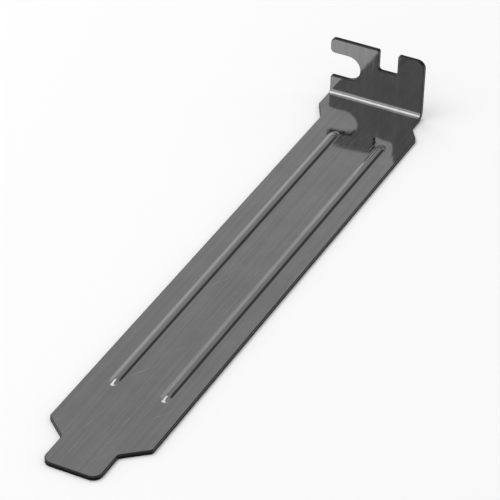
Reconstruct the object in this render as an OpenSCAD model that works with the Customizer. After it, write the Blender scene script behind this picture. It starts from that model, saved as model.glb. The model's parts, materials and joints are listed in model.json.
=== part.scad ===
// Slot cover bracket: one strip of plated steel sheet, punched out flat and folded once.
// The long plate lies flat on the ground plane and the screw tab stands up at its +Y end.
// X runs across the plate, Y along it and Z up out of it, all in millimetres.
// The origin is at the middle of the overall box, on the ground plane.

/* [Sheet] */
// Thickness of the steel sheet
sheet_t = 0.86; // [0.6:0.01:1.1]
// Overall length, from the back of the tab to the tip of the tongue
overall_l = 120.02; // [110:0.01:130]

/* [Plate] */
// Width of the long plate
plate_w = 18.42; // [17:0.01:20]
// Radius of the corners where the plate starts to taper, and where the taper meets the tongue
taper_r = 0.8; // [0.3:0.1:1.5]
// Length of the taper between the plate's full width and the tongue
taper_l = 3.6; // [3:0.1:6]

/* [Tongue] */
// Width of the tongue that drops into the chassis
tongue_w = 10; // [8:0.1:12]
// Length of the tongue beyond the taper
tongue_l = 6.6; // [5:0.1:9]
// Radius of the two corners at the tongue's tip
tongue_r = 1.6; // [0.5:0.1:3]

/* [Head] */
// Width of the head, which is the top of the plate and the tab above it
head_w = 18.5; // [17:0.01:20]
// Distance from the plate's centre line to the head's centre line, to the left
head_shift = 2.2; // [1.5:0.05:2.5]
// Distance from the back of the tab to where the left edge leaves the head
left_jog_y = 5.6; // [4.5:0.1:6.5]
// Length of the slant from the head's left edge to the plate's
left_jog_l = 4; // [3:0.1:5]
// Distance from the back of the tab to where the right edge leaves the head
right_jog_y = 4.9; // [4.5:0.1:6.5]
// Length of the slant from the head's right edge to the plate's
right_jog_l = 3.2; // [3:0.1:5]
// Radius of the corners of both slants
jog_r = 1; // [0.3:0.1:1.5]

/* [Tab] */
// Height of the tab, from the underside of the plate to its top edge
tab_h = 12.3; // [11.5:0.1:14]
// Radius on the inside of the fold
fold_r = 0.8; // [0.4:0.1:1.2]
// Radius of the tab's upper right corner
tab_r = 1.6; // [0.3:0.1:2.4]

/* [Screw slot] */
// Width of the slot that the fixing screw slides into
slot_w = 5; // [3.6:0.1:5.2]
// Depth of the slot, from the tab's left edge to its round end
slot_l = 5.9; // [4:0.1:7]
// Height of the slot's centre line above the underside of the plate
slot_z = 6.85; // [6.5:0.05:7.7]
// How far the prong above the slot reaches out past the tab's left edge
prong_reach = 0.2; // [0.1:0.1:0.8]
// Radius of the two corners at the prong's tip
prong_r = 0.8; // [0.3:0.1:1]
// Radius of the corner below the slot's mouth
lip_r = 0.4; // [0.2:0.1:0.8]

/* [Notch] */
// Width of the notch in the tab's top edge
notch_w = 3.8; // [2.5:0.1:4]
// Depth of the notch
notch_d = 4.2; // [3:0.1:5]
// Distance from the tab's left edge to the middle of the notch
notch_x = 11.35; // [10.5:0.05:12]
// Radius of the notch's two inner corners
notch_r = 0.6; // [0.2:0.1:1]
// Radius of the notch's two outer corners
notch_lip_r = 0.4; // [0.2:0.1:0.8]

/* [Ribs] */
// Distance between the centre lines of the two stiffening ribs
rib_gap = 9.3; // [6:0.1:11]
// Distance from the plate's centre line to the middle between the ribs, to the right
rib_shift = 0.3; // [-0.5:0.05:0.5]
// Distance from the back of the tab to the upper end of the ribs
rib_y = 13.2; // [12:0.1:18]
// Length of a rib, over its round ends
rib_l = 85.2; // [60:0.1:88]
// Width of a rib where it leaves the plate
rib_w = 1.8; // [1.4:0.1:2.4]
// Height of a rib above the plate
rib_h = 0.4; // [0.2:0.05:0.5]
// Width of the groove that the punch leaves under a rib
groove_w = 1.2; // [0.8:0.1:1.4]
// Depth of that groove
groove_h = 0.4; // [0.2:0.05:0.5]

/* [Hidden] */
$fn = 64;

// How far a cutting shape runs past what it cuts
over = 1;
// How far a corner's kite reaches, as a multiple of its distance from the arc's centre
past_corner = 1.4;
// How much larger a corner's disc is than its arc, so that it crosses the sides cleanly
bite = 1.0005;
// Radius on the outside of the fold
fold_outer_r = fold_r + sheet_t;
// Left and right edges of the head, from the plate's centre line
head_left = -head_shift - head_w / 2;
head_right = head_left + head_w;
// Left end of the prong above the slot
prong_left = head_left - prong_reach;
// Middle of the overall box across the plate
box_mid_x = (min(prong_left, -plate_w / 2) + max(head_right, plate_w / 2)) / 2;
// Heights of the slot's lower and upper edges
slot_low = slot_z - slot_w / 2;
slot_high = slot_z + slot_w / 2;
// Left and right sides of the notch
notch_left = head_left + notch_x - notch_w / 2;
notch_right = notch_left + notch_w;
// Distances along the plate, from the back of the tab
tongue_start = overall_l - tongue_l;
taper_start = tongue_start - taper_l;

function unit(v) = v / norm(v);
// Cosine of the angle at p between the directions to a and to b
function corner_cos(a, p, b) = unit(a - p) * unit(b - p);
// Distance from the corner p to where an arc of radius r touches its sides
function touch_len(a, p, b, r) =
    r * sqrt((1 + corner_cos(a, p, b)) / (1 - corner_cos(a, p, b)));
// Way from p to the centre of that arc
function to_centre(a, p, b, r) =
    unit(unit(a - p) + unit(b - p)) * r / sqrt((1 - corner_cos(a, p, b)) / 2);

// What lies between the corner at p, with sides towards a and b, and an arc of radius r.
// It is a kite from the arc's centre to past the corner, less the disc inside the arc.
module corner_sliver(a, p, b, r) {
    d = touch_len(a, p, b, r);
    c = to_centre(a, p, b, r);
    ways = [unit(a - p) * d, [0, 0], unit(b - p) * d];
    translate(p)
        difference() {
            polygon([c, for (w = ways) c + (w - c) * past_corner]);
            translate(c) circle(r * bite);
        }
}

// An outline through the points pts, with an arc of radius radii[i] at corner i.
// A positive radius rounds an outer corner off, a negative one fills an inner corner.
module rounded_outline(pts, radii) {
    last = len(pts) - 1;
    difference() {
        union() {
            polygon(pts);
            for (i = [0 : last])
                if (radii[i] < 0)
                    corner_sliver(pts[i == 0 ? last : i - 1], pts[i],
                                  pts[i == last ? 0 : i + 1], -radii[i]);
        }
        for (i = [0 : last])
            if (radii[i] > 0)
                corner_sliver(pts[i == 0 ? last : i - 1], pts[i],
                              pts[i == last ? 0 : i + 1], radii[i]);
    }
}

// Side view of the folded sheet, with y along the plate and z up
module side_view() {
    back_foot = [0, 0];
    inner_foot = [-sheet_t, sheet_t];
    difference() {
        translate([-overall_l, 0]) square([overall_l, tab_h]);
        corner_sliver([0, tab_h], back_foot, [-overall_l, 0], fold_outer_r);
        difference() {
            translate([-overall_l - over, sheet_t])
                square([overall_l + over - sheet_t, tab_h]);
            corner_sliver([-sheet_t, tab_h], inner_foot, [-overall_l, sheet_t], fold_r);
        }
    }
}

// Plan of the plate, seen from above: head, slants to the plate, tapers and tongue
module plan_view() {
    half_w = plate_w / 2;
    half_t = tongue_w / 2;
    rounded_outline(
        [[prong_left, over], [prong_left, -sheet_t], [head_left, -sheet_t],
         [head_left, -left_jog_y], [-half_w, -left_jog_y - left_jog_l],
         [-half_w, -taper_start], [-half_t, -tongue_start], [-half_t, -overall_l],
         [half_t, -overall_l], [half_t, -tongue_start], [half_w, -taper_start],
         [half_w, -right_jog_y - right_jog_l], [head_right, -right_jog_y],
         [head_right, over]],
        [0, 0, 0,
         jog_r, -jog_r,
         taper_r, -taper_r, tongue_r,
         tongue_r, -taper_r, taper_r,
         jog_r, -jog_r,
         0]);
}

// Face of the tab, seen from the front, on a foot as wide as the whole part
module front_view() {
    foot_right = max(head_right, plate_w / 2);
    slot_end = head_left + slot_l - slot_w / 2;
    notch_floor = tab_h - notch_d;
    difference() {
        rounded_outline(
            [[head_left, 0], [head_left, slot_low], [slot_end, slot_low],
             [slot_end, slot_high], [prong_left, slot_high], [prong_left, tab_h],
             [notch_left, tab_h], [notch_left, notch_floor],
             [notch_right, notch_floor], [notch_right, tab_h],
             [head_right, tab_h], [head_right, fold_outer_r],
             [foot_right, fold_outer_r], [foot_right, 0]],
            [0, lip_r, 0,
             0, prong_r, prong_r,
             notch_lip_r, -notch_r,
             -notch_r, notch_lip_r,
             tab_r, 0,
             0, 0]);
        translate([slot_end, slot_z]) circle(slot_w / 2);
    }
}

// A rod with round ends, laid along the plate with its crown at height h above z.
// It is w wide at height z, so only its top breaks a surface at that height.
module round_rod(w, h, z) {
    r = (w * w / 4 + h * h) / (2 * h);
    end_y = (rib_l - rib_w) / 2;
    translate([0, -rib_y - rib_l / 2, z + h - r])
        rotate([90, 0, 0])
        rotate_extrude()
        intersection() {
            union() {
                translate([0, -end_y]) square([r, 2 * end_y]);
                for (side = [-1, 1]) translate([0, side * end_y]) circle(r);
            }
            translate([0, -end_y - r]) square([r, 2 * (end_y + r)]);
        }
}

// Centre line of the rib on one side of the plate, -1 for the left and 1 for the right
function rib_x(side) = rib_shift + side * rib_gap / 2;

// What a rib adds above the middle of the sheet
module rib_crown() {
    middle = sheet_t / 2;
    intersection() {
        round_rod(rib_w, rib_h, sheet_t);
        translate([-rib_w, -overall_l, middle]) cube([2 * rib_w, overall_l, rib_h + middle]);
    }
}

// The folded sheet before its ribs are pressed: three outlines carried through each other
module folded_sheet() {
    intersection() {
        translate([prong_left - over, 0, 0])
            rotate([90, 0, 90])
            linear_extrude(head_w + plate_w + 2 * over) side_view();
        translate([0, 0, -over])
            linear_extrude(tab_h + 2 * over) plan_view();
        translate([0, over, 0])
            rotate([90, 0, 0])
            linear_extrude(overall_l + 2 * over) front_view();
    }
}

module bracket() {
    color("#8d8f92")
    translate([-box_mid_x, overall_l / 2, 0])
        difference() {
            union() {
                folded_sheet();
                for (side = [-1, 1])
                    translate([rib_x(side), 0, 0]) rib_crown();
            }
            for (side = [-1, 1])
                translate([rib_x(side), 0, 0]) round_rod(groove_w, groove_h, 0);
        }
}

bracket();
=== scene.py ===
# %% [markdown]
# # A slot cover bracket, from flat pattern to folded steel
#
# The real object is one strip of thin plated steel. A press punches it out flat, pushes two
# long ribs up into it, and folds its head over into a screw tab.
# This notebook makes it the same way. It draws the flat pattern, fills it with points,
# gives it a thickness with worn punched edges, and then bends the whole sheet round the fold.
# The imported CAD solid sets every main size, and the finished sheet takes that solid's place.

import json
import math

import bpy
import numpy as np
from mathutils import Matrix, Vector
from mathutils.geometry import delaunay_2d_cdt


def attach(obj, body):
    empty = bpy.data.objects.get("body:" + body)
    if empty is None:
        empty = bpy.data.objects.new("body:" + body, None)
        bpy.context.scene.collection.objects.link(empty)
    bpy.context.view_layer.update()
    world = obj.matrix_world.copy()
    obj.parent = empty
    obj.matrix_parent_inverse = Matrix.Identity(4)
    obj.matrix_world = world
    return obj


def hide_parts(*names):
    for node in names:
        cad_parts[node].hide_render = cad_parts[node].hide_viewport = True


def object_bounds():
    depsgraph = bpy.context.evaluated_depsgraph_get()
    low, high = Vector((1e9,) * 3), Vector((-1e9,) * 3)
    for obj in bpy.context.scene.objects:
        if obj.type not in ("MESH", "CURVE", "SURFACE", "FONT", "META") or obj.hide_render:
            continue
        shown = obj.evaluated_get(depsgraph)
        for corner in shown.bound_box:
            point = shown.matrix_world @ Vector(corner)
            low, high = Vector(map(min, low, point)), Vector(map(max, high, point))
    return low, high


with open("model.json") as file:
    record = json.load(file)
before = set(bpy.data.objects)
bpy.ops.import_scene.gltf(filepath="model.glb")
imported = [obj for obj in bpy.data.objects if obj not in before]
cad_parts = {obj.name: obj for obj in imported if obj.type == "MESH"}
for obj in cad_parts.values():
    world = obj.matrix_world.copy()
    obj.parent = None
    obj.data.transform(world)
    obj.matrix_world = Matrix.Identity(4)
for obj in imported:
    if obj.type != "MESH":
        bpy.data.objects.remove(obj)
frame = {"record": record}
cad_low, cad_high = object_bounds()
mounts = {m["name"]: m for m in frame["record"]["mounts"]}
print("CAD box, mm:", [round(v * 1000, 2) for v in cad_high - cad_low])

# %% [markdown]
# ## Sizes
#
# Lengths are in metres, like everything in the frame. The overall sizes come from the CAD
# box, and the sheet's thickness and the screw slot come from the record's mounts.
# The rest of the outline repeats the construction's own values, or sums of them, in
# millimetres times MM.
# Where the flat pattern is concerned, x runs across the strip and s along it, from the tip of
# the tongue, up the plate, round the fold and on to the top of the tab.

# %% Sizes of the sheet and its outline
MM = 0.001
sheet_t = mounts["plate_seat"]["pos_m"][2]
overall_l = cad_high.y - cad_low.y
tab_h = cad_high.z
fold_r = 0.8 * MM
outer_r = fold_r + sheet_t
middle_r = fold_r + sheet_t / 2

plate_w, head_w, tongue_w = 18.42 * MM, 18.5 * MM, 10.0 * MM
prong_reach = 0.2 * MM
half_plate, half_tongue = plate_w / 2, tongue_w / 2
middle_x = cad_high.x - half_plate
prong_left = cad_low.x
head_left = prong_left + prong_reach
head_right = head_left + head_w

# From the tongue's tip to where the tongue ends and where the taper ends.
tongue_end, taper_end = 6.6 * MM, 10.2 * MM
# From the back of the tab to both ends of the slant on each edge.
left_jog_y, left_jog_end = 5.6 * MM, 9.6 * MM
right_jog_y, right_jog_end = 4.9 * MM, 8.1 * MM

slot_r = mounts["screw_slot"]["dims"]["r_mm"] * MM
slot_end_x, _, slot_z = mounts["screw_slot"]["pos_m"]
# The notch's offset is from the head's left edge to its own left side.
notch_offset, notch_w, notch_d = 9.45 * MM, 3.8 * MM, 4.2 * MM
notch_left = head_left + notch_offset
notch_right = notch_left + notch_w
notch_floor = tab_h - notch_d

# Radii of the outline's corners.
tongue_r, taper_r, jog_r, tab_r = 1.6 * MM, 0.8 * MM, 1.0 * MM, 1.6 * MM
notch_lip_r, notch_r, prong_r, lip_r = 0.4 * MM, 0.6 * MM, 0.8 * MM, 0.4 * MM

# The ribs lie this far apart, about a line this far to the right of the plate's middle.
RIB_GAP_MM, RIB_SHIFT_MM = 9.3, 0.3
rib_x = [middle_x + (RIB_SHIFT_MM + side * RIB_GAP_MM / 2) * MM for side in (-1, 1)]
rib_top_y = 13.2 * MM
rib_l, rib_w, rib_h = 85.2 * MM, 1.8 * MM, 0.4 * MM
groove_w = 1.2 * MM


def plate_s(d):
    """Place along the strip of a point on the plate, d away from the back of the tab."""
    return overall_l - d


fold_start = plate_s(outer_r)
fold_end = fold_start + math.pi / 2 * middle_r


def tab_s(z):
    """Place along the strip of a point on the tab, at height z above the ground."""
    return fold_end + z - outer_r


pattern_l = tab_s(tab_h)
print("flat pattern, mm: length", round(pattern_l / MM, 2), "sheet", round(sheet_t / MM, 2))

# %% [markdown]
# ## The flat pattern
#
# A punch leaves no sharp corners, so each corner of the outline has its own radius.
# One way to draw this is by hand with curves, but a list of corners and radii is shorter and
# can be measured. Every corner becomes an arc that touches both of its sides.
# The outline also needs the direction that points out of the steel at each point, because
# the worn edge is built along it later.

# %% Corners of the outline
corners = np.array(
    [
        (middle_x - half_tongue, 0.0, tongue_r),
        (middle_x + half_tongue, 0.0, tongue_r),
        (middle_x + half_tongue, tongue_end, taper_r),
        (middle_x + half_plate, taper_end, taper_r),
        (middle_x + half_plate, plate_s(right_jog_end), jog_r),
        (head_right, plate_s(right_jog_y), jog_r),
        (head_right, pattern_l, tab_r),
        (notch_right, pattern_l, notch_lip_r),
        (notch_right, tab_s(notch_floor), notch_r),
        (notch_left, tab_s(notch_floor), notch_r),
        (notch_left, pattern_l, notch_lip_r),
        (prong_left, pattern_l, prong_r),
        (prong_left, tab_s(slot_z + slot_r), prong_r),
        (slot_end_x + slot_r, tab_s(slot_z + slot_r), slot_r),
        (slot_end_x + slot_r, tab_s(slot_z - slot_r), slot_r),
        (head_left, tab_s(slot_z - slot_r), lip_r),
        (head_left, plate_s(left_jog_y), jog_r),
        (middle_x - half_plate, plate_s(left_jog_end), jog_r),
        (middle_x - half_plate, taper_end, taper_r),
        (middle_x - half_tongue, tongue_end, taper_r),
    ]
)
fold_steps = 16
fold_rows = np.linspace(fold_start, fold_end, fold_steps + 1)

# %% Outline with rounded corners
outline_step = 0.3 * MM
fewest_on_arc = 7
# Two points closer than this are one.
same_point = 1e-7
# A plain point closer to a fold row than this share of the spacing gives way to it.
crowded = 0.3


def unit(v):
    """Each row of v divided by its own length."""
    return v / np.linalg.norm(v, axis=-1, keepdims=True)


def merged(coarse, fine, gap):
    """The values of fine, and those of coarse that lie further than gap from all of them."""
    clear = np.abs(coarse[:, None] - fine).min(1) > gap
    return np.sort(np.append(coarse[clear], fine))


def rounded_outline(corners, spacing):
    """Points along a closed outline, and the direction out of the steel at each.

    A corner of radius r whose sides meet at the angle 2h is an arc about a centre that lies
    r / sin(h) from the corner, along the line that halves the angle.
    The arc touches each side r / tan(h) from the corner.
    """
    at, r = corners[:, :2], corners[:, 2]
    back, ahead = unit(np.roll(at, 1, 0) - at), unit(np.roll(at, -1, 0) - at)
    half = np.arccos((back * ahead).sum(1)) / 2
    centre = at + unit(back + ahead) * (r / np.sin(half))[:, None]
    first = at + back * (r / np.tan(half))[:, None]
    last = at + ahead * (r / np.tan(half))[:, None]
    turn = np.sign(back[:, 1] * ahead[:, 0] - back[:, 0] * ahead[:, 1])
    points, outward = [], []
    for i in range(len(at)):
        sweep = turn[i] * (math.pi - 2 * half[i])
        steps = max(fewest_on_arc, math.ceil(abs(sweep) * r[i] / spacing) + 1)
        angle = np.linspace(0, sweep, steps) + math.atan2(*(first[i] - centre[i])[::-1])
        ring = np.stack([np.cos(angle), np.sin(angle)], 1)
        points.append(centre[i] + r[i] * ring)
        outward.append(turn[i] * ring)
        side = first[(i + 1) % len(at)] - last[i]
        length = np.linalg.norm(side)
        along = np.linspace(0, 1, math.ceil(length / spacing) + 1)[1:-1]
        if abs(side[1]) > fold_end - fold_start:
            rows = (fold_rows - last[i][1]) / side[1]
            rows = rows[(rows > 0) & (rows < 1)]
            if len(rows):
                along = merged(along, rows, crowded * spacing / length)
        points.append(last[i] + along[:, None] * side)
        if len(along):
            outward.append(np.tile([side[1], -side[0]] / length, (len(along), 1)))
    points, outward = np.concatenate(points), np.concatenate(outward)
    apart = np.linalg.norm(points - np.roll(points, 1, 0), axis=1) > same_point
    return points[apart], outward[apart]


outline, outward = rounded_outline(corners, outline_step)
print("outline points:", len(outline))

# %% [markdown]
# ## Points inside the outline
#
# The flat stretches need few points, but the fold and the ribs bend the light, so rows of
# points lie close together there. The rows and columns cross to make a plain grid, and the
# points that fall outside the outline, or almost on it, are left out.

# %% Grid of inner points
column_step, row_step, grid_gap = 0.8 * MM, 1.0 * MM, 0.2 * MM
# A fine column every tenth of a millimetre across a rib and a little past its foot.
across_rib = np.linspace(-1.3, 1.3, 27) * MM
# Fine rows from inside a rib's end to just past it.
round_end = np.linspace(-1.5, 0.5, 21) * MM

columns = merged(
    np.arange(prong_left, cad_high.x, column_step),
    np.concatenate([x + across_rib for x in rib_x]),
    grid_gap,
)
rib_high = plate_s(rib_top_y)
rib_low = rib_high - rib_l
rows = merged(
    np.arange(0, pattern_l, row_step),
    np.concatenate([fold_rows, rib_high + round_end, rib_low - round_end]),
    grid_gap,
)


def inside(points, loop):
    """True where a ray from the point towards +x crosses the loop an odd number of times."""
    x, y = points[:, 0, None], points[:, 1, None]
    x0, y0 = loop.T
    x1, y1 = np.roll(loop, -1, 0).T
    spans = (y0 > y) != (y1 > y)
    with np.errstate(divide="ignore", invalid="ignore"):
        cross_x = x0 + (y - y0) * (x1 - x0) / (y1 - y0)
    return (spans & (cross_x > x)).sum(1) % 2 == 1


grid = np.stack(np.meshgrid(columns, rows), -1).reshape(-1, 2)
grid = grid[inside(grid, outline)]
# The distances are worked out in batches, because all of them at once take much memory.
batches = np.array_split(grid, 16)
near = [np.linalg.norm(batch[:, None] - outline, axis=2).min(1) for batch in batches]
grid = grid[np.concatenate(near) > outline_step]
print("inner points:", len(grid))

# %% [markdown]
# ## Worn punched edges
#
# A punch drags the face that it enters down into a soft rounded lip, and leaves the far face
# with a tighter corner. These lips catch thin lines of light, which a square edge can't do.
# The edge is a small profile that is carried along the outline: it starts on the front face,
# rolls over, drops down the cut wall and turns in under the back face.

# %% Profile of the edge
front_lip, back_lip = 0.12 * MM, 0.06 * MM
lip_rows = 6


def edge_profile(steps):
    """Rows of the edge from front to back: inset, height, and the normal's two shares.

    Each lip is a quarter turn of radius r. At the angle a the front lip is set in by
    r (1 - sin a) and lies r (1 - cos a) below its face. The back lip is set in by
    r (1 - cos a) and lies r (1 - sin a) above its face.
    """
    turn = np.linspace(0, math.pi / 2, steps)
    inset = np.append(front_lip * (1 - np.sin(turn)), back_lip * (1 - np.cos(turn)))
    height = np.append(
        sheet_t / 2 - front_lip * (1 - np.cos(turn)),
        -sheet_t / 2 + back_lip * (1 - np.sin(turn)),
    )
    out = np.append(np.sin(turn), np.cos(turn))
    up = np.append(np.cos(turn), -np.sin(turn))
    return inset, height, out, up


inset, height, out_share, up_share = edge_profile(lip_rows)
print("edge rows:", len(inset))

# %% [markdown]
# ## Ribs and fold
#
# A rib is a long bump with oval ends. Its height depends only on the distance from its
# centre line, so one formula makes the sides and both ends. The foot of the bump is blended
# into the plate, because pressed sheet can't turn a sharp corner.
# The fold comes last. It takes any point of the flat sheet, with its place across, along and
# through the sheet, and carries it round an arc of a quarter turn.

# %% Height of the ribs
end_stretch = 2.0
rib_blend, groove_blend = 0.16 * MM, 0.1 * MM
rib_end_reach = rib_l / 2 - end_stretch * rib_w / 2
rib_mid = (rib_high + rib_low) / 2


def rib_distance(x, s):
    """Distance from the nearer rib's centre line, which stops where its oval ends begin.

    Past that point the length is divided by end_stretch, so the ends are long ovals.
    """
    past = np.maximum(np.abs(s - rib_mid) - rib_end_reach, 0) / end_stretch
    beside = np.minimum(np.abs(x - rib_x[0]), np.abs(x - rib_x[1]))
    return np.hypot(beside, past)


def pressed(distance, width, blend):
    """A crown of the rib's height and the given width, blended into a flat at its foot.

    The crown is the parabola h (1 - (2 d / w)^2). Where it and the flat come within blend of
    each other, the square of what is left of that gap, over 4 blend, rounds the crease.
    """
    crown = rib_h * (1 - (2 * distance / width) ** 2)
    gap = np.maximum(blend - np.abs(crown), 0)
    return np.maximum(crown, 0) + gap**2 / (4 * blend)


def rib_lift(x, s, front):
    """How far the front or the back face is raised at a place on the flat sheet."""
    distance = rib_distance(x, s)
    if front:
        return pressed(distance, rib_w, rib_blend)
    return pressed(distance, groove_w, groove_blend)


# %% The fold


def bend(x, s, n):
    """Carries a point of the flat sheet onto the folded strip.

    n is its height over the middle of the sheet, towards the side that the tab stands on.
    The turn is 0 on the plate and a quarter on the tab. The point swings about the fold's
    centre at the middle radius less n, and any length past the fold runs straight up.
    """
    turn = np.clip((s - fold_start) / middle_r, 0, math.pi / 2)
    radius = middle_r - n
    y = cad_low.y + np.minimum(s, fold_start) + radius * np.sin(turn)
    z = outer_r - radius * np.cos(turn) + np.maximum(s - fold_end, 0)
    return np.stack([x, y, z], 1)


def frame_along(s):
    """Unit vectors along the strip and out of its front face, at each s."""
    turn = np.clip((s - fold_start) / middle_r, 0, math.pi / 2)
    zero = np.zeros_like(turn)
    along = np.stack([zero, np.cos(turn), np.sin(turn)], 1)
    facing = np.stack([zero, -np.sin(turn), np.cos(turn)], 1)
    return along, facing


# %% [markdown]
# ## The sheet's mesh
#
# The front face is the flat pattern, cut into triangles between the outline and the inner
# points. The back face uses the same triangles, turned over, and the edge rows join the two
# into one closed skin. The normals are worked out from the formulas too, so the mirror
# finish shows no trace of the triangles.

# %% Triangles of the flat pattern
rim = outline - outward * front_lip
flat_points = np.concatenate([rim, grid])
ring = np.arange(len(rim))
keep_inside, same_place = 1, 1e-9
cut = delaunay_2d_cdt(
    [Vector(p) for p in flat_points.tolist()],
    np.stack([ring, np.roll(ring, -1)], 1).tolist(),
    [],
    keep_inside,
    same_place,
)
assert len(cut[0]) == len(flat_points), "the outline crosses itself"
triangles = np.array(cut[2])
corner_a, corner_b, corner_c = (flat_points[triangles[:, k]] for k in range(3))
side_b, side_c = corner_b - corner_a, corner_c - corner_a
area = side_b[:, 0] * side_c[:, 1] - side_b[:, 1] * side_c[:, 0]
triangles[area < 0] = triangles[area < 0][:, ::-1]
face_area = np.abs(area).sum() / 2
print("triangles on a face:", len(triangles), "area, mm2:", round(face_area / MM**2, 1))

# %% Points and normals of the whole skin
ACROSS = np.array([[1.0, 0.0, 0.0]])
slope_step = 0.01 * MM
count, edge = len(flat_points), len(rim)
back_flat = np.concatenate([outline - outward * back_lip, grid])


def face_skin(flat, front):
    """Points and normals of the front or the back face.

    The normal is the face's own, leaned back by the ribs' slope, which is the change in
    their height over a short step across and along the sheet.
    """
    x, s = flat.T
    side = 1 if front else -1
    n = side * sheet_t / 2 + rib_lift(x, s, front)
    step = slope_step
    slope_x = (rib_lift(x + step, s, front) - rib_lift(x - step, s, front)) / (2 * step)
    slope_s = (rib_lift(x, s + step, front) - rib_lift(x, s - step, front)) / (2 * step)
    along, facing = frame_along(s)
    normal = side * unit(facing - slope_x[:, None] * ACROSS - slope_s[:, None] * along)
    return bend(x, s, n), normal


def edge_skin(rows):
    """Points, normals and flat places of the edge: the profile's rows along the outline."""
    flat = (outline - outward * inset[rows, None, None]).reshape(-1, 2)
    n = np.repeat(height[rows], edge)
    along, facing = frame_along(flat[:, 1])
    out = np.tile(outward, (len(rows), 1))
    out = out[:, :1] * ACROSS + out[:, 1:] * along
    normal = np.repeat(out_share[rows], edge)[:, None] * out
    normal = normal + np.repeat(up_share[rows], edge)[:, None] * facing
    return bend(flat[:, 0], flat[:, 1], n), unit(normal), flat


front_points, front_normals = face_skin(flat_points, True)
back_points, back_normals = face_skin(back_flat, False)
middle_rows = np.arange(1, len(inset) - 1)
edge_points, edge_normals, edge_flat = edge_skin(middle_rows)
points = np.concatenate([front_points, back_points, edge_points])
normals = np.concatenate([front_normals, back_normals, edge_normals])
flat_places = np.concatenate([flat_points, back_flat, edge_flat])
depths = np.repeat([0.0, 1.0], count)
depths = np.append(depths, 0.5 - np.repeat(height[middle_rows], edge) / sheet_t)

# %% Faces of the whole skin
edge_rows = np.concatenate(
    [ring[None], 2 * count + np.arange(len(edge_flat)).reshape(-1, edge), count + ring[None]]
)
upper, lower = edge_rows[:-1], edge_rows[1:]
walls = np.stack([upper, lower, np.roll(lower, -1, 1), np.roll(upper, -1, 1)], 2).reshape(-1, 4)
faces = triangles.tolist() + (triangles[:, ::-1] + count).tolist() + walls.tolist()

mesh = bpy.data.meshes.new("sheet")
mesh.from_pydata(points.tolist(), [], faces)
mesh.polygons.foreach_set("use_smooth", np.ones(len(faces), bool))
cut_face = np.zeros(len(faces), np.int32)
cut_face[-len(walls) :] = 1
mesh.polygons.foreach_set("material_index", cut_face)

# %% Flat map and normals
# The map gives each point its place on the flat pattern, in tenths of a metre.
MAP_PER_METRE = 10
corner_points = np.zeros(len(mesh.loops), np.int32)
mesh.loops.foreach_get("vertex_index", corner_points)
flat_map = mesh.uv_layers.new(name="flat_pattern")
map_places = flat_places[corner_points] * MAP_PER_METRE
flat_map.data.foreach_set("uv", map_places.astype(np.float32).ravel())
depth = mesh.attributes.new("depth", "FLOAT", "POINT")
depth.data.foreach_set("value", depths.astype(np.float32))
mesh.normals_split_custom_set_from_vertices(normals.tolist())
mesh.update()
sheet = bpy.data.objects.new("folded_sheet", mesh)
bpy.context.scene.collection.objects.link(sheet)
print("faces:", len(mesh.polygons), "box, mm:", [round(v / MM, 2) for v in sheet.dimensions])

# %% [markdown]
# ## Plated steel
#
# The sheet is rolled, punched and then plated bright. The plating is a dark mirror that is
# a little soft, with fine streaks from the rolls along the strip, cloudy patches where
# hands have been, a few hair scratches and some dust.
# The streaks follow the flat pattern, because they were there before the fold.
# Streaks and scratches are the same thing at heart, noise that is stretched a long way, so
# one node group makes both. The cut walls use it too, for the lines that the punch draws.

# %% Node helpers


def add(tree, kind, inputs=None, **settings):
    """A new node with its settings, whose inputs are given as values or as other sockets."""
    node = tree.nodes.new(kind)
    for name, value in settings.items():
        setattr(node, name, value)
    for name, value in (inputs or {}).items():
        if isinstance(value, bpy.types.NodeSocket):
            tree.links.new(value, node.inputs[name])
        else:
            node.inputs[name].default_value = value
    return node


def new_group(name, inputs, outputs):
    """An empty shader group with float inputs at the given values, plus a vector called Place."""
    tree = bpy.data.node_groups.new(name, "ShaderNodeTree")
    tree.interface.new_socket("Place", in_out="INPUT", socket_type="NodeSocketVector")
    for key, value in inputs.items():
        socket = tree.interface.new_socket(key, in_out="INPUT", socket_type="NodeSocketFloat")
        socket.default_value = value
    for key in outputs:
        tree.interface.new_socket(key, in_out="OUTPUT", socket_type="NodeSocketFloat")
    return tree, add(tree, "NodeGroupInput"), add(tree, "NodeGroupOutput")


def new_material(name):
    """A node material with its tree and shader, ready to fill in."""
    material = bpy.data.materials.new(name)
    material.use_nodes = True
    tree = material.node_tree
    return material, tree, tree.nodes["Principled BSDF"]


def grey(value):
    """An opaque colour with the same value in each channel."""
    return (value, value, value, 1.0)


# %% Streaks group
streaks, given, result = new_group(
    "streaks", {"Across": 150.0, "Along": 3.0, "Angle": 0.0, "From": 0.3, "To": 0.7}, ["Streak"]
)
turned = add(
    streaks,
    "ShaderNodeVectorRotate",
    {"Vector": given.outputs["Place"], "Angle": given.outputs["Angle"]},
    rotation_type="Z_AXIS",
)
spread = add(
    streaks,
    "ShaderNodeCombineXYZ",
    {"X": given.outputs["Across"], "Y": given.outputs["Along"]},
)
stretched = add(
    streaks,
    "ShaderNodeVectorMath",
    {0: turned.outputs[0], 1: spread.outputs[0]},
    operation="MULTIPLY",
)
lines = add(
    streaks,
    "ShaderNodeTexNoise",
    {"Vector": stretched.outputs[0], "Scale": 1.0, "Detail": 3.0, "Roughness": 0.6},
    noise_dimensions="2D",
)
levels = add(
    streaks,
    "ShaderNodeMapRange",
    {
        "Value": lines.outputs["Fac"],
        "From Min": given.outputs["From"],
        "From Max": given.outputs["To"],
    },
)
streaks.links.new(levels.outputs[0], result.inputs["Streak"])


def streak_node(tree, place, **values):
    """One use of the streaks group. It gives 0 where its noise is below From, 1 above To."""
    node = add(tree, "ShaderNodeGroup", node_tree=streaks)
    tree.links.new(place, node.inputs["Place"])
    for name, value in values.items():
        node.inputs[name].default_value = value
    return node.outputs["Streak"]


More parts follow.
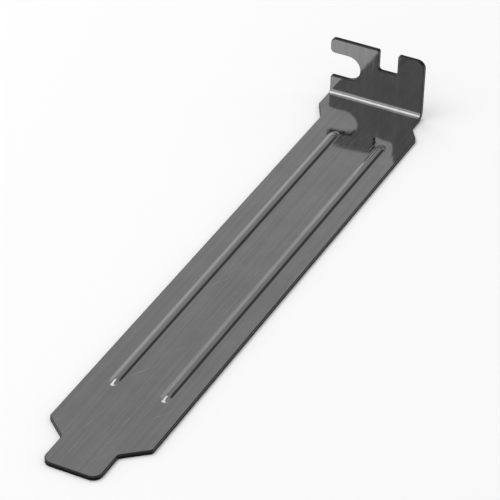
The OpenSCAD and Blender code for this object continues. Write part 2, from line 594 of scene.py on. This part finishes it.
def mapped(tree, value, low, high, to_low, to_high):
    """The value, eased from the range low to high onto the range to_low to to_high."""
    ends = {"From Min": low, "From Max": high, "To Min": to_low, "To Max": to_high}
    return add(
        tree, "ShaderNodeMapRange", {"Value": value, **ends}, interpolation_type="SMOOTHSTEP"
    ).outputs[0]


def faded(tree, mask, at_0, at_1):
    """at_0 where the mask is 0, at_1 where it is 1, and eased between them."""
    return mapped(tree, mask, 0.0, 1.0, at_0, at_1)


def combined(tree, operation, first, *others):
    """A chain of one arithmetic operation over several values."""
    for other in others:
        first = add(tree, "ShaderNodeMath", {0: first, 1: other}, operation=operation).outputs[0]
    return first


# %% Plated face: what lies on it
plated, tree, shader = new_material("plated_steel")
place = add(tree, "ShaderNodeUVMap", uv_map="flat_pattern").outputs[0]
spot = add(tree, "ShaderNodeTexCoord").outputs["Object"]
rolled = streak_node(tree, place, Across=150.0, Along=2.0)
fine_rolled = streak_node(tree, place, Across=700.0, Along=9.0)
scratch = combined(
    tree,
    "MAXIMUM",
    streak_node(tree, place, Across=420.0, Along=7.0, Angle=0.5, From=0.7, To=0.76),
    streak_node(tree, place, Across=520.0, Along=9.0, Angle=-0.9, From=0.71, To=0.77),
    streak_node(tree, place, Across=380.0, Along=12.0, Angle=0.08, From=0.7, To=0.76),
)
cloud = add(
    tree, "ShaderNodeTexNoise", {"Vector": spot, "Scale": 90.0, "Detail": 5.0, "Roughness": 0.6}
).outputs["Fac"]
grains = add(tree, "ShaderNodeTexVoronoi", {"Vector": spot, "Scale": 700.0, "Randomness": 1.0})
dust = mapped(tree, grains.outputs["Distance"], 0.06, 0.1, 1.0, 0.0)

# %% Plated face: colour, roughness and bumps
plating_grey = 0.25
tone = combined(
    tree,
    "MULTIPLY",
    faded(tree, rolled, 0.95, 1.05),
    faded(tree, fine_rolled, 0.97, 1.03),
    mapped(tree, cloud, 0.3, 0.7, 1.05, 0.95),
    faded(tree, scratch, 1.0, 1.25),
    faded(tree, dust, 1.0, 0.7),
)
colour = add(tree, "ShaderNodeMix", {"Factor": 1.0}, data_type="RGBA", blend_type="MULTIPLY")
colour.inputs["A"].default_value = grey(plating_grey)
tree.links.new(tone, colour.inputs["B"])
tree.links.new(colour.outputs["Result"], shader.inputs["Base Color"])
shader.inputs["Metallic"].default_value = 1.0
roughness = combined(
    tree,
    "ADD",
    mapped(tree, cloud, 0.35, 0.7, 0.06, 0.13),
    faded(tree, rolled, -0.015, 0.015),
    faded(tree, scratch, 0.0, 0.15),
    faded(tree, dust, 0.0, 0.3),
)
tree.links.new(roughness, shader.inputs["Roughness"])
waves = add(tree, "ShaderNodeTexNoise", {"Vector": spot, "Scale": 150.0, "Detail": 1.0})
wave_bump = add(tree, "ShaderNodeBump", {"Distance": 0.0001, "Height": waves.outputs["Fac"]})
roll_bump = add(
    tree,
    "ShaderNodeBump",
    {"Distance": 0.000002, "Height": rolled, "Normal": wave_bump.outputs[0]},
)
tree.links.new(roll_bump.outputs[0], shader.inputs["Normal"])

# %% Cut wall
# A punch shears the first part of the sheet smooth and tears the rest, so the wall has a
# brighter band with fine lines next to the front face, and a dull grainy one below it.
# Both bands are far darker than bare steel. Part of that is the dull cut metal, and part is
# painted shade standing in for the dark line of shade along every cut edge.
punched, tree, shader = new_material("punched_edge")
place = add(tree, "ShaderNodeUVMap", uv_map="flat_pattern").outputs[0]
spot = add(tree, "ShaderNodeTexCoord").outputs["Object"]
depth_in = add(tree, "ShaderNodeAttribute", attribute_name="depth").outputs["Fac"]
ragged = add(tree, "ShaderNodeTexNoise", {"Vector": spot, "Scale": 1500.0, "Detail": 3.0})
torn_from = mapped(tree, ragged.outputs["Fac"], 0.3, 0.7, 0.3, 0.45)
torn = combined(tree, "GREATER_THAN", depth_in, torn_from)
wall_lines = streak_node(tree, place, Across=900.0, Along=900.0)
# Nearly black greys: the dull cut steel, darkened further by painted shade along the edges.
burnished_grey_and_shade, torn_grey_and_shade = 0.03, 0.012
wall_grey_and_shade = combined(
    tree,
    "MULTIPLY",
    faded(tree, torn, burnished_grey_and_shade, torn_grey_and_shade),
    faded(tree, wall_lines, 0.7, 1.3),
)
tree.links.new(wall_grey_and_shade, shader.inputs["Base Color"])
shader.inputs["Metallic"].default_value = 1.0
tree.links.new(faded(tree, torn, 0.25, 0.5), shader.inputs["Roughness"])
rough_height = combined(tree, "MULTIPLY", ragged.outputs["Fac"], faded(tree, torn, 0.1, 1.0))
wall_bump = add(tree, "ShaderNodeBump", {"Distance": 0.00003, "Height": rough_height})
tree.links.new(wall_bump.outputs[0], shader.inputs["Normal"])

# %% Dress the sheet
mesh.materials.append(plated)
mesh.materials.append(punched)
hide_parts("bracket")
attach(sheet, "root")

# %% [markdown]
# ## Floor, room and lamp
#
# The bracket lies on a plain white table in a pale room, under one large soft lamp.
# A mirror shows what is around it, so the room has a shape: it is white at the horizon and
# pale grey higher up, with a brighter panel behind the camera's left shoulder and a dark card
# beyond the tab on the right, which draws a dark line along each rib.
# The camera and the metal see that room. Everything else gets the same light from all sides,
# so the room's shape leaves no trace on the table.

# %% What is seen, and what only gives light


def seen_ray(tree):
    """1 for a ray from the camera, off a mirror or through glass, and 0 for any other."""
    path = add(tree, "ShaderNodeLightPath").outputs
    kinds = ("Is Camera Ray", "Is Glossy Ray", "Is Transmission Ray")
    return combined(tree, "MAXIMUM", *(path[kind] for kind in kinds))


# %% Floor
# It ends as plain white far from the bracket, where the lamp's light runs out.
# It lies a hair below the ground plane, so that it and the bracket's flat underside don't lie
# in one plane, where a renderer can't tell which of them is in front.
reach, drop = 3.0, 0.02 * MM
fade_from, fade_to = 0.25, 0.7
floor_sides = ((-1, -1), (1, -1), (1, 1), (-1, 1))
floor_corners = [(x * reach, y * reach, -drop) for x, y in floor_sides]
floor_mesh = bpy.data.meshes.new("floor")
floor_mesh.from_pydata(floor_corners, [], [(0, 1, 2, 3)])
floor = bpy.data.objects.new("floor", floor_mesh)
bpy.context.scene.collection.objects.link(floor)
white, tree, shader = new_material("white_table")
shader.inputs["Base Color"].default_value = grey(0.94)
shader.inputs["Roughness"].default_value = 0.9
shader.inputs["Specular IOR Level"].default_value = 0.0
spot = add(tree, "ShaderNodeTexCoord").outputs["Object"]
away = add(tree, "ShaderNodeVectorMath", {0: spot}, operation="LENGTH").outputs["Value"]
outer = mapped(tree, away, fade_from, fade_to, 0.0, 1.0)
far_off = combined(tree, "MULTIPLY", outer, seen_ray(tree))
plain_white = add(tree, "ShaderNodeEmission", {"Color": grey(1.0), "Strength": 1.0})
surface = add(
    tree,
    "ShaderNodeMixShader",
    {0: far_off, 1: shader.outputs[0], 2: plain_white.outputs[0]},
)
tree.links.new(surface.outputs[0], tree.nodes["Material Output"].inputs["Surface"])
floor_mesh.materials.append(white)

# %% Room
horizon_level, zenith_level, panel_level, card_level = 1.0, 0.64, 1.35, 0.2
plain_level = 0.66
world = bpy.data.worlds.new("pale_room")
bpy.context.scene.world = world
world.use_nodes = True
tree = world.node_tree
direction = add(tree, "ShaderNodeTexCoord").outputs["Generated"]


def soft_patch(towards, rim, middle, value):
    """1 outside a round patch of the room and the given value inside it, with a soft rim.

    rim and middle are the cosines of the angle between a direction and the patch's centre,
    where the patch begins and where it reaches its value.
    """
    near = add(tree, "ShaderNodeVectorMath", {0: direction, 1: towards}, operation="DOT_PRODUCT")
    return mapped(tree, near.outputs["Value"], rim, middle, 1.0, value)


height_of = add(tree, "ShaderNodeSeparateXYZ", {0: direction}).outputs["Z"]
walls = mapped(tree, height_of, 0.1, 0.7, horizon_level, zenith_level)
panel = soft_patch((-0.352, -0.733, 0.58), 0.75, 0.95, panel_level)
card = soft_patch((0.5, 0.733, 0.46), 0.92, 0.97, card_level)
room = combined(tree, "MULTIPLY", walls, panel, card)
level = add(tree, "ShaderNodeMix", {"Factor": seen_ray(tree), "B": room}, data_type="FLOAT")
level.inputs["A"].default_value = plain_level
tree.links.new(level.outputs["Result"], tree.nodes["Background"].inputs["Color"])

# %% Lamp
lamp_data = bpy.data.lights.new("overhead", "AREA")
lamp_data.shape = "RECTANGLE"
lamp_data.size, lamp_data.size_y = 0.6, 1.25
lamp_data.energy = 5.2
lamp = bpy.data.objects.new("overhead", lamp_data)
bpy.context.scene.collection.objects.link(lamp)
lamp.location = (-0.38, -0.075, 0.9)

# %% [markdown]
# ## Camera
#
# The camera stands to the right of the tongue, a little under half a metre away, and looks
# down the strip towards the tab. A long lens brings the bracket up to fill the picture.

# %% Camera
camera_data = bpy.data.cameras.new("camera")
camera_data.sensor_width = 36.0
camera_data.lens = 205.0
camera = bpy.data.objects.new("camera", camera_data)
bpy.context.scene.collection.objects.link(camera)
camera.location = (0.1705, -0.3547, 0.2801)
aim = Vector((-0.0009, 0.0070, 0.0))
roll = Matrix.Rotation(math.radians(1.798), 3, "Z")
look = (aim - camera.location).to_track_quat("-Z", "Y").to_matrix() @ roll
camera.rotation_euler = look.to_euler()
bpy.context.scene.camera = camera
bpy.context.scene.view_settings.view_transform = "Standard"
